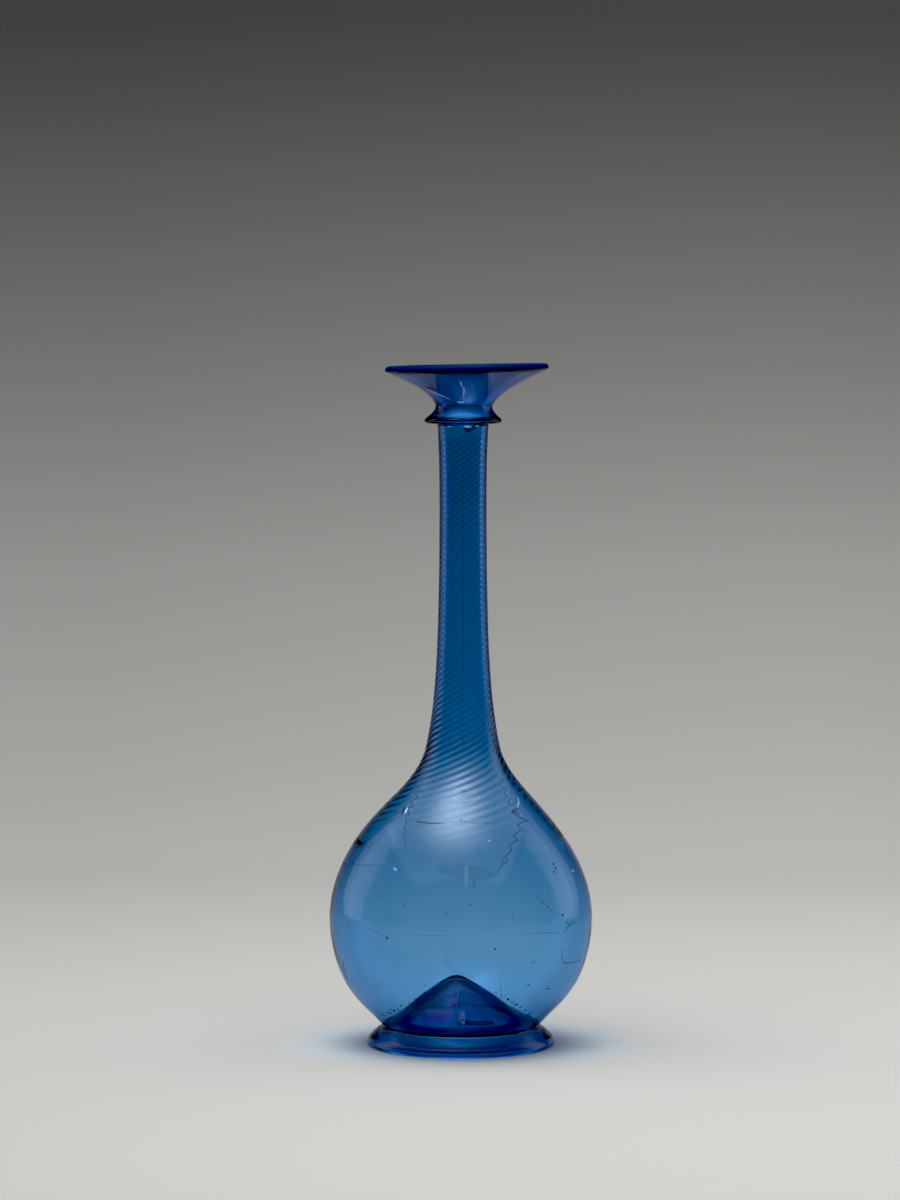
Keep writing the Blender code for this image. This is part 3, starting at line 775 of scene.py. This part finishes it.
class Sight:
    """Finds the place on the bottle's near side that the stage camera shows at a point of its picture."""

    def __init__(self, outline, stage):
        self.outline = outline
        self.eye = Vector((stage.camera_side, -stage.camera_distance, stage.camera_height))
        self.pitch = stage.camera_pitch
        self.reach = stage.lens / 36.0 * PICTURE_HEIGHT

    def ray(self, x, y):
        right, up = (x - 0.5 * PICTURE_WIDTH) / self.reach, (0.5 * PICTURE_HEIGHT - y) / self.reach
        ahead = Vector((0.0, math.cos(self.pitch), -math.sin(self.pitch)))
        over = Vector((0.0, math.sin(self.pitch), math.cos(self.pitch)))
        return ahead + Vector((right, 0.0, 0.0)) + over * up

    def skin(self, level):
        """Radius of the outer skin and how far its middle stands off the axis."""
        o, s = self.outline, self.outline.s
        lean = s.neck_offset * eased(level, o.lean_start, o.lean_end)
        if level < o.collar:
            return o.radius(max(level, o.crease)), lean
        lean += s.mouth_offset * eased(level, o.collar, o.tip_level)
        if level < o.waist:
            reach = through(COLLAR_OUTLINE, (level - o.collar) / s.collar_height)
            return s.waist_radius + s.collar_stand * reach, lean
        share = min((level - o.waist) / (o.tip_level - o.waist), 1.0) ** (1.0 / o.mouth_bend)
        return s.waist_radius + (s.mouth_radius - s.waist_radius) * share, lean

    def neck(self, level):
        """The skin under the collar, without the collar itself."""
        return self.skin(min(level, self.outline.collar - 0.0003))

    def kick(self, level):
        """Radius of the kick's upper side at a level, and how far its middle stands off the axis."""
        o, s = self.outline, self.outline.s
        low, high = 0.0, s.crease_radius
        for _ in range(30):
            middle = 0.5 * (low + high)
            if o.kick_level(middle) + s.kick_wall > level:
                low = middle
            else:
                high = middle
        return low, s.kick_offset * (1.0 - (low / s.crease_radius) ** 2)

    def hit(self, x, y, surface=None, lift=0.0):
        """The place on the near side of a surface, the outer skin if none is named, and its normal."""
        surface = surface or self.skin
        way, depth = self.ray(x, y), 0.0
        for _ in range(14):
            point = self.eye + way * ((depth - self.eye.y) / way.y)
            radius, lean = surface(point.z)
            depth = 0.5 * depth - 0.5 * math.sqrt(max(radius**2 - (point.x - lean) ** 2, 0.0))
        apart = 0.0004
        low, high = surface(point.z - apart)[0], surface(point.z + apart)[0]
        normal = Vector((point.x - lean, point.y, 0.0)).normalized()
        normal = (normal + Vector((0.0, 0.0, (low - high) / (2.0 * apart)))).normalized()
        return point + normal * lift, normal


def blank(name):
    """A new mesh builder and the name that its object gets."""
    return bmesh.new(), name


def meshed(builder, name):
    """Turn a mesh builder into a mesh."""
    mesh = bpy.data.meshes.new(name)
    builder.to_mesh(mesh)
    builder.free()
    return mesh


def settle(builder, surface):
    """Turn a builder into a finished piece that rides on the bottle."""
    marks, name = builder
    mesh = meshed(marks, name)
    mesh.materials.append(surface[0])
    piece = bpy.data.objects.new(name, mesh)
    bpy.context.scene.collection.objects.link(piece)
    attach(piece, BODY)


def ribbon(builder, sight, places, width, lift, jitter=None, surface=None):
    """A thin line on the glass, tapered to both ends, that faces outwards."""
    marks, _ = builder
    dots = []
    for (x0, y0), (x1, y1) in zip(places, places[1:]):
        parts = max(2, round(math.hypot(x1 - x0, y1 - y0) / 1.5))
        for i in range(parts):
            stray = jitter.uniform(-0.5, 0.5) if jitter and i else 0.0
            dots.append((x0 + (x1 - x0) * i / parts + stray, y0 + (y1 - y0) * i / parts + 0.4 * stray))
    dots.append(places[-1])
    spots = [sight.hit(x, y, surface=surface, lift=lift) for x, y in dots]
    rows = []
    for i, (point, normal) in enumerate(spots):
        along = spots[min(i + 1, len(spots) - 1)][0] - spots[max(i - 1, 0)][0]
        across = normal.cross(along).normalized()
        taper = 0.35 + 0.65 * math.sin(math.pi * i / (len(spots) - 1))
        half = across * (0.0005 * width * taper)
        rows.append((marks.verts.new(point - half), marks.verts.new(point + half)))
    for (a, b), (c, d) in zip(rows, rows[1:]):
        marks.faces.new((a, c, d, b))


def speck(builder, sight, place, radius, lift, draw):
    """A small uneven flat spot that faces outwards."""
    marks, _ = builder
    point, normal = sight.hit(*place, lift=lift)
    side = normal.cross(Vector((0.0, 0.0, 1.0))).normalized()
    up = side.cross(normal) * -1.0
    corners = 7
    ring = []
    for i in range(corners):
        angle = math.tau * i / corners
        reach = 0.001 * radius * draw.uniform(0.65, 1.25)
        corner = point + side * (reach * math.cos(angle)) + up * (reach * math.sin(angle))
        ring.append(marks.verts.new(corner))
    face = marks.faces.new(ring)
    face.normal_update()
    if face.normal.dot(normal) < 0.0:
        face.normal_flip()


def patch(builder, sight, corners, lift, surface):
    """A thin patch that follows the glass, from its middle out to the corners."""
    marks, _ = builder
    middle = (sum(x for x, _ in corners) / len(corners), sum(y for _, y in corners) / len(corners))
    rim = []
    for i, (x0, y0) in enumerate(corners):
        before, after = corners[i - 1], corners[(i + 2) % len(corners)]
        x1, y1 = corners[(i + 1) % len(corners)]
        for k in range(4):
            t = k / 4
            weights = (-0.5 * t + t**2 - 0.5 * t**3, 1 - 2.5 * t**2 + 1.5 * t**3,
                       0.5 * t + 2 * t**2 - 1.5 * t**3, -0.5 * t**2 + 0.5 * t**3)
            rim.append([sum(w * c[axis] for w, c in zip(weights, (before, (x0, y0), (x1, y1), after)))
                        for axis in (0, 1)])
    rings = []
    for k in range(1, 6):
        ring = []
        for x, y in rim:
            spot = (middle[0] + (x - middle[0]) * k / 5, middle[1] + (y - middle[1]) * k / 5)
            ring.append(marks.verts.new(sight.hit(*spot, surface=surface, lift=lift)[0]))
        rings.append(ring)
    point, normal = sight.hit(*middle, surface=surface, lift=lift)
    centre = marks.verts.new(point)
    faces = []
    for a in range(len(rim)):
        b = (a + 1) % len(rim)
        faces.append(marks.faces.new((centre, rings[0][a], rings[0][b])))
        for low, high in zip(rings, rings[1:]):
            faces.append(marks.faces.new((low[a], high[a], high[b], low[b])))
    faces[0].normal_update()
    if faces[0].normal.dot(normal) < 0.0:
        bmesh.ops.reverse_faces(marks, faces=faces)


def mark_surface(name, tint, finish):
    """A plain surface for marks, and its shader; its finish is its roughness and how much it covers."""
    material, shader, _ = principled(name)
    shader.inputs["Base Color"].default_value = (*tint, 1.0)
    shader.inputs["Roughness"].default_value, shader.inputs["Alpha"].default_value = finish
    return material, shader


class GLASSBOTTLE_OT_crack_glass(bpy.types.Operator):
    """Draw the cracks and hairline cracks in dark painted shade, the breaks' painted highlights and the
    specks of dirt
    """
    bl_idname = "glassbottle.crack_glass"
    bl_label = "Crack Glass"

    def execute(self, context):
        scene, wear = context.scene, context.scene.bottle_wear
        sight = Sight(Outline(scene.bottle_sizes, scene.bottle_ribs), scene.bottle_stage)
        draw, depth = random.Random(7), wear.crack_depth
        cracks, hairs = blank("cracks"), blank("hairline_cracks")
        # The cracks are drawn as dark lines of painted shade
        for width, places in CRACKS:
            ribbon(cracks if width > HAIRLINE else hairs, sight, places, wear.breadth * width, depth, draw)
        settle(cracks, mark_surface("crack_shadow", wear.dark_shade_and_dirt_tint, CRACK_FINISH))
        settle(hairs, mark_surface("hairline_shadow", wear.dark_shade_and_dirt_tint, HAIRLINE_FINISH))
        painted_glints, specks = blank("crack_glints"), blank("dark_specks")
        # The glints are painted highlights
        for width, places in PAINTED_GLINTS:
            ribbon(painted_glints, sight, places, 0.8 * wear.breadth * width, 1.5 * depth)
        settle(painted_glints, mark_surface("crack_glint", wear.painted_glint_tint, PAINTED_GLINT_FINISH))
        for radius, place in SPECKS:
            speck(specks, sight, place, wear.breadth * min(radius, wear.largest_speck), 1.5 * depth, draw)
        settle(specks, mark_surface("speck_dirt", wear.dark_shade_and_dirt_tint, SPECK_FINISH))
        return {'FINISHED'}


class GLASSBOTTLE_OT_weather_glass(bpy.types.Operator):
    """Lay the bloom, the painted shade in the front of the body, the chip under the collar in painted shade
    and highlights, and the kick's stain, dirt and painted highlights
    """
    bl_idname = "glassbottle.weather_glass"
    bl_label = "Weather Glass"

    def execute(self, context):
        scene, wear = context.scene, context.scene.bottle_wear
        sight = Sight(Outline(scene.bottle_sizes, scene.bottle_ribs), scene.bottle_stage)
        draw, depth = random.Random(11), wear.crack_depth
        # The shaded mark is painted shade, and the chip under the collar is drawn in dark painted shade
        for kind, name, tint, finish in (("shade", "painted_shade_mark", wear.painted_shade_tint, PAINTED_SHADE_FINISH),
                                         ("bloom", "pale_bloom", wear.haze_tint, BLOOM_FINISH),
                                         ("chip", "neck_chip", wear.dark_shade_and_dirt_tint, CHIP_FINISH),
                                         ("stain", "kick_tint", wear.stain_tint, STAIN_FINISH)):
            marks = blank(name)
            for i, (where, which, corners) in enumerate(PATCHES):
                if which == kind:
                    patch(marks, sight, corners, (1.0 + 0.1 * i) * depth, getattr(sight, where))
            settle(marks, mark_surface(name, tint, finish))
        # The chips' edges in dark painted shade and their faces in painted highlights
        for name, tint, finish, lines in (("chip_edge", wear.dark_shade_and_dirt_tint, EDGE_FINISH, CHIP_EDGES),
                                          ("chip_highlight", wear.painted_glint_tint, CHIP_HIGHLIGHT_FINISH, CHIP_HIGHLIGHTS)):
            marks = blank(name)
            for where, width, lift, places in lines:
                ribbon(marks, sight, places, width, lift * depth, surface=getattr(sight, where))
            settle(marks, mark_surface(name, tint, finish))
        dirt, highlight_marks = blank("kick_dirt"), blank("kick_painted_highlight")
        for radius, place in KICK_DIRT:
            speck(dirt, sight, place, radius, 2.0 * depth, draw)
        settle(dirt, mark_surface("kick_dirt", wear.dirt_tint, DIRT_FINISH))
        # The kick's streaks are painted highlights
        for width, places in KICK_PAINTED_HIGHLIGHTS:
            ribbon(highlight_marks, sight, places, width, 5.0 * depth, surface=sight.kick)
        settle(highlight_marks, mark_surface("kick_painted_highlight", wear.painted_highlight_tint, PAINTED_HIGHLIGHT_FINISH))
        return {'FINISHED'}


# The sweep's painted shading, darker up the wall where the light falls off, as (distance back along the sweep
# in metres, reflectance)
SWEEP_SHADES = ((-1.20, 0.100), (-0.50, 0.300), (-0.32, 0.405), (0.15, 0.400), (0.63, 0.395), (0.85, 0.345),
                (1.02, 0.298), (1.22, 0.200), (1.33, 0.150), (1.47, 0.083))
# How much less blue than red and green the paper is
PAPER_WARMTH = 0.965


def sweep_mesh(look, half_width, front, top):
    """One seamless sheet: a floor that curves up into a wall."""
    sweep = bmesh.new()
    flat_end = look.wall_distance - look.wall_curve
    path = [(front, 0.0), (-0.3, 0.0), (0.0, 0.0), (0.3, 0.0)]
    for i in range(25):
        angle = math.radians(90.0) * i / 24
        path.append((flat_end + look.wall_curve * math.sin(angle), look.wall_curve * (1.0 - math.cos(angle))))
    path += [(look.wall_distance, look.wall_curve + 0.2), (look.wall_distance, top)]
    columns = [-half_width, -0.5, 0.0, 0.5, half_width]
    rows = [[sweep.verts.new((x, y, z)) for x in columns] for y, z in path]
    for low, high in zip(rows, rows[1:]):
        for a in range(len(columns) - 1):
            sweep.faces.new((low[a], low[a + 1], high[a + 1], high[a])).smooth = True
    return meshed(sweep, "studio_sweep")


def straight(t):
    """1 for light that comes straight, or through glass alone, and 0 for light that was reflected."""
    path = t.add("ShaderNodeLightPath").outputs
    return t.product(t.math('MAXIMUM', path["Is Camera Ray"], path["Is Transmission Ray"]),
                     t.math('LESS_THAN', path["Glossy Depth"], 0.5),
                     t.math('LESS_THAN', path["Diffuse Depth"], 0.5))


def sweep_paper(look):
    """Matte pale paper with painted shade that darkens it up the wall, and whose back doesn't hide the
    bottle.
    """
    material, shader, t = principled("sweep_paper")
    place = t.add("ShaderNodeTexCoord").outputs["Object"]
    apart = t.apart(place)
    # Painted shade that darkens the paper up the wall
    low, high = SWEEP_SHADES[0][0], SWEEP_SHADES[-1][0]
    share = t.ramp(t.math('ADD', apart["Y"], apart["Z"]), low, high)
    ramp = t.add("ShaderNodeValToRGB", {"Fac": share})
    stops = ramp.color_ramp.elements
    for i, (distance, shade) in enumerate(SWEEP_SHADES):
        at = (distance - low) / (high - low)
        stop = stops[i] if i < 1 else (stops[-1] if i == len(SWEEP_SHADES) - 1 else stops.new(at))
        stop.position = at
        stop.color = (shade, shade, PAPER_WARMTH * shade, 1.0)
    flattened = t.vector('MULTIPLY', place, (1.0, 1.0, 4.0))
    out = t.add("ShaderNodeVectorMath", {0: flattened}, operation='LENGTH').outputs["Value"]
    # Painted blue light on the floor round the foot
    glow = t.product(t.smooth_step(out, 0.085, 0.040), t.smooth_step(apart["Y"], -0.060, -0.020))
    blued = t.mix(glow, WHITE, look.floor_glow)
    reflected = t.add("ShaderNodeLightPath").outputs["Is Reflection Ray"]
    behind = t.smooth_step(apart["Y"], -0.1, 0.1)
    filtered = t.math('SUBTRACT', 1.0, t.product(reflected, behind, look.reflection_loss))
    # Painted light, brighter towards the right of the sweep
    brighter = t.ramp(apart["X"], -0.2, 0.2, 0.92, 1.08)
    ahead = t.product(straight(t), t.smooth_step(apart["Y"], -0.32, -0.36))
    front = (look.front_shade, look.front_shade, PAPER_WARMTH * look.front_shade)
    shown = t.vector('MULTIPLY', t.mix(ahead, ramp.outputs["Color"], front), blued)
    shown = t.vector('SCALE', shown, scale=t.product(filtered, brighter))
    t.tree.links.new(shown, shader.inputs["Base Color"])
    shader.inputs["Roughness"].default_value = 0.9
    shader.inputs["Specular IOR Level"].default_value = 0.1
    turned = t.add("ShaderNodeNewGeometry").outputs["Backfacing"]
    hidden = t.product(turned, t.add("ShaderNodeLightPath").outputs["Is Camera Ray"])
    clear = t.add("ShaderNodeBsdfTransparent").outputs[0]
    open_back = t.add("ShaderNodeMixShader", {0: hidden, 1: shader.outputs[0], 2: clear})
    t.tree.links.new(open_back.outputs[0], t.tree.nodes["Material Output"].inputs["Surface"])
    return material


def soft_spot(lamp, size, spread, rest):
    """Make a softbox brightest in its middle, in a soft spot, and leave the rest that share as bright."""
    lamp.use_nodes = True
    t = Tree(lamp.node_tree)
    place_on = t.add("ShaderNodeNewGeometry").outputs["Parametric"]
    apart = t.vector('SUBTRACT', place_on, (0.5, 0.5, 0.0))
    across = t.vector('MULTIPLY', apart, (size / spread, size / spread, 0.0))
    squared = t.add("ShaderNodeVectorMath", {0: across, 1: across}, operation='DOT_PRODUCT').outputs["Value"]
    glow = t.math('EXPONENT', t.product(squared, -0.5))
    strength = t.math('ADD', t.product(glow, 1.0 - rest), rest)
    t.tree.links.new(strength, t.tree.nodes["Emission"].inputs["Strength"])


def area_light(name, place, target, size, radiance, spot=()):
    """A square softbox at place that looks at target, as bright as radiance says."""
    lamp = bpy.data.lights.new(name, 'AREA')
    lamp.shape = 'RECTANGLE'
    lamp.size = lamp.size_y = size
    lamp.energy = radiance * math.pi * size**2
    if spot:
        soft_spot(lamp, size, *spot)
    item = bpy.data.objects.new(name, lamp)
    item.location = place
    item.rotation_euler = (Vector(target) - Vector(place)).to_track_quat('-Z', 'Y').to_euler()
    bpy.context.scene.collection.objects.link(item)


class GLASSBOTTLE_OT_set_stage(bpy.types.Operator):
    """Set the pale sweep, the soft lights and the camera"""
    bl_idname = "glassbottle.set_stage"
    bl_label = "Set Stage"

    def execute(self, context):
        scene, look = context.scene, context.scene.bottle_stage
        sweep = bpy.data.objects.new("studio_sweep", sweep_mesh(look, 1.6, -1.3, 1.7))
        sweep.data.materials.append(sweep_paper(look))
        scene.collection.objects.link(sweep)
        area_light("overhead_scrim", (-0.1, -0.15, 1.2), (-0.1, -0.15, 0.0), 2.4, look.scrim_power,
                   (look.scrim_spread, look.scrim_rest))
        for name, side in (("left_card", -1.1), ("right_card", 1.1)):
            area_light(name, (side, 0.65, 0.57), (0.0, 0.65, 0.57), 1.1, look.card_power)
        world = bpy.data.worlds.new("studio_room")
        world.use_nodes = True
        t = Tree(world.node_tree)
        back = t.apart(t.add("ShaderNodeTexCoord").outputs["Generated"])["Y"]
        glow = t.ramp(back, -0.3, 0.4, look.room_front, look.room_back, 'SMOOTHSTEP')
        ahead = t.product(straight(t), t.smooth_step(back, -0.10, -0.35), look.room_seen)
        room = world.node_tree.nodes["Background"].inputs
        t.tree.links.new(t.math('MAXIMUM', glow, ahead), room["Strength"])
        room["Color"].default_value = (*WHITE, 1.0)
        scene.world = world
        scene.view_settings.view_transform = 'Standard'
        scene.view_settings.use_curve_mapping = True
        scene.view_settings.curve_mapping.black_level = (look.black_level,) * 3
        camera = bpy.data.cameras.new("camera")
        camera.lens = look.lens
        camera.sensor_width = 36.0
        camera.clip_start = 0.01
        item = bpy.data.objects.new("camera", camera)
        item.location = (look.camera_side, -look.camera_distance, look.camera_height)
        item.rotation_euler = (math.radians(90.0) - look.camera_pitch, 0.0, 0.0)
        scene.collection.objects.link(item)
        scene.camera = item
        return {'FINISHED'}


class GLASSBOTTLE_PT_panel(bpy.types.Panel):
    """The bottle's makers and sizes"""
    bl_label = "Glass Bottle"
    bl_idname = "GLASSBOTTLE_PT_panel"
    bl_space_type = 'VIEW_3D'
    bl_region_type = 'UI'
    bl_category = "Glass Bottle"

    def draw(self, context):
        for maker in MAKERS:
            self.layout.operator(maker.bl_idname)
        for group in GROUPS:
            box = self.layout.box()
            settings = getattr(context.scene, group)
            for name in settings.bl_rna.properties.keys():
                if name not in ("rna_type", "name"):
                    box.prop(settings, name)


GROUPS = {"bottle_sizes": BottleSizes, "bottle_ribs": RibSettings,
          "bottle_glass": GlassLook, "bottle_wear": WearLook, "bottle_stage": StageLook}
MAKERS = (GLASSBOTTLE_OT_blow_bottle, GLASSBOTTLE_OT_crack_glass,
          GLASSBOTTLE_OT_weather_glass, GLASSBOTTLE_OT_set_stage)


def register():
    """Register the classes and hang the settings on the scene."""
    for item in (*GROUPS.values(), *MAKERS, GLASSBOTTLE_PT_panel):
        bpy.utils.register_class(item)
    for name, group in GROUPS.items():
        setattr(bpy.types.Scene, name, PointerProperty(type=group))


def unregister():
    """Undo register."""
    for name in GROUPS:
        delattr(bpy.types.Scene, name)
    for item in reversed((*GROUPS.values(), *MAKERS, GLASSBOTTLE_PT_panel)):
        bpy.utils.unregister_class(item)


def plain(box):
    """A box as plain lists of numbers."""
    return [[float(value) for value in corner] for corner in box]


def main():
    """Make every piece and the stage."""
    register()
    bpy.ops.glassbottle.blow_bottle()
    bpy.ops.glassbottle.crack_glass()
    bpy.ops.glassbottle.weather_glass()
    bpy.ops.glassbottle.set_stage()


if __name__ == "__main__":
    main()
